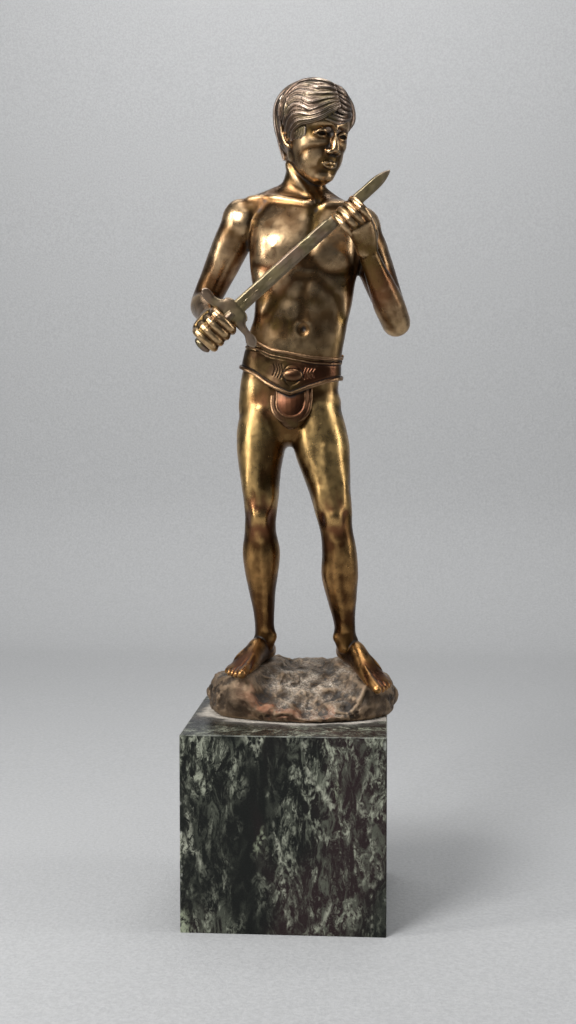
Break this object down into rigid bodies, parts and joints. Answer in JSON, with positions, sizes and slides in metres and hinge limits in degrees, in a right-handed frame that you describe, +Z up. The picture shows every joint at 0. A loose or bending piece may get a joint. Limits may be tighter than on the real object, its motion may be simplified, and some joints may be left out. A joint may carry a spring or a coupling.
{
  "type": "bronze statuette",
  "caption": "Bronze statuette of a standing youth holding a short sword, on a bronze rocky ground and a square stone block.",
  "frame": {"origin": "middle of the block's underside", "axes": "+Z up; the figure's front faces -Y; +X is to the right of someone who looks at the front"},
  "size_m": [0.0876, 0.076, 0.3227],
  "materials": {
    "figure_bronze": "golden-brown patina, rubbed bright on the raised parts",
    "sword_bronze": "dull grey-brown patina",
    "ground_bronze": "dark rough patina with dust in the hollows",
    "serpentine": "polished black-green stone with pale veins"
  },
  "bodies": {
    "root": {"figure": "figure_bronze", "sword": "sword_bronze", "rock_base": "ground_bronze", "plinth_block": "serpentine"}
  },
  "joints": []
}
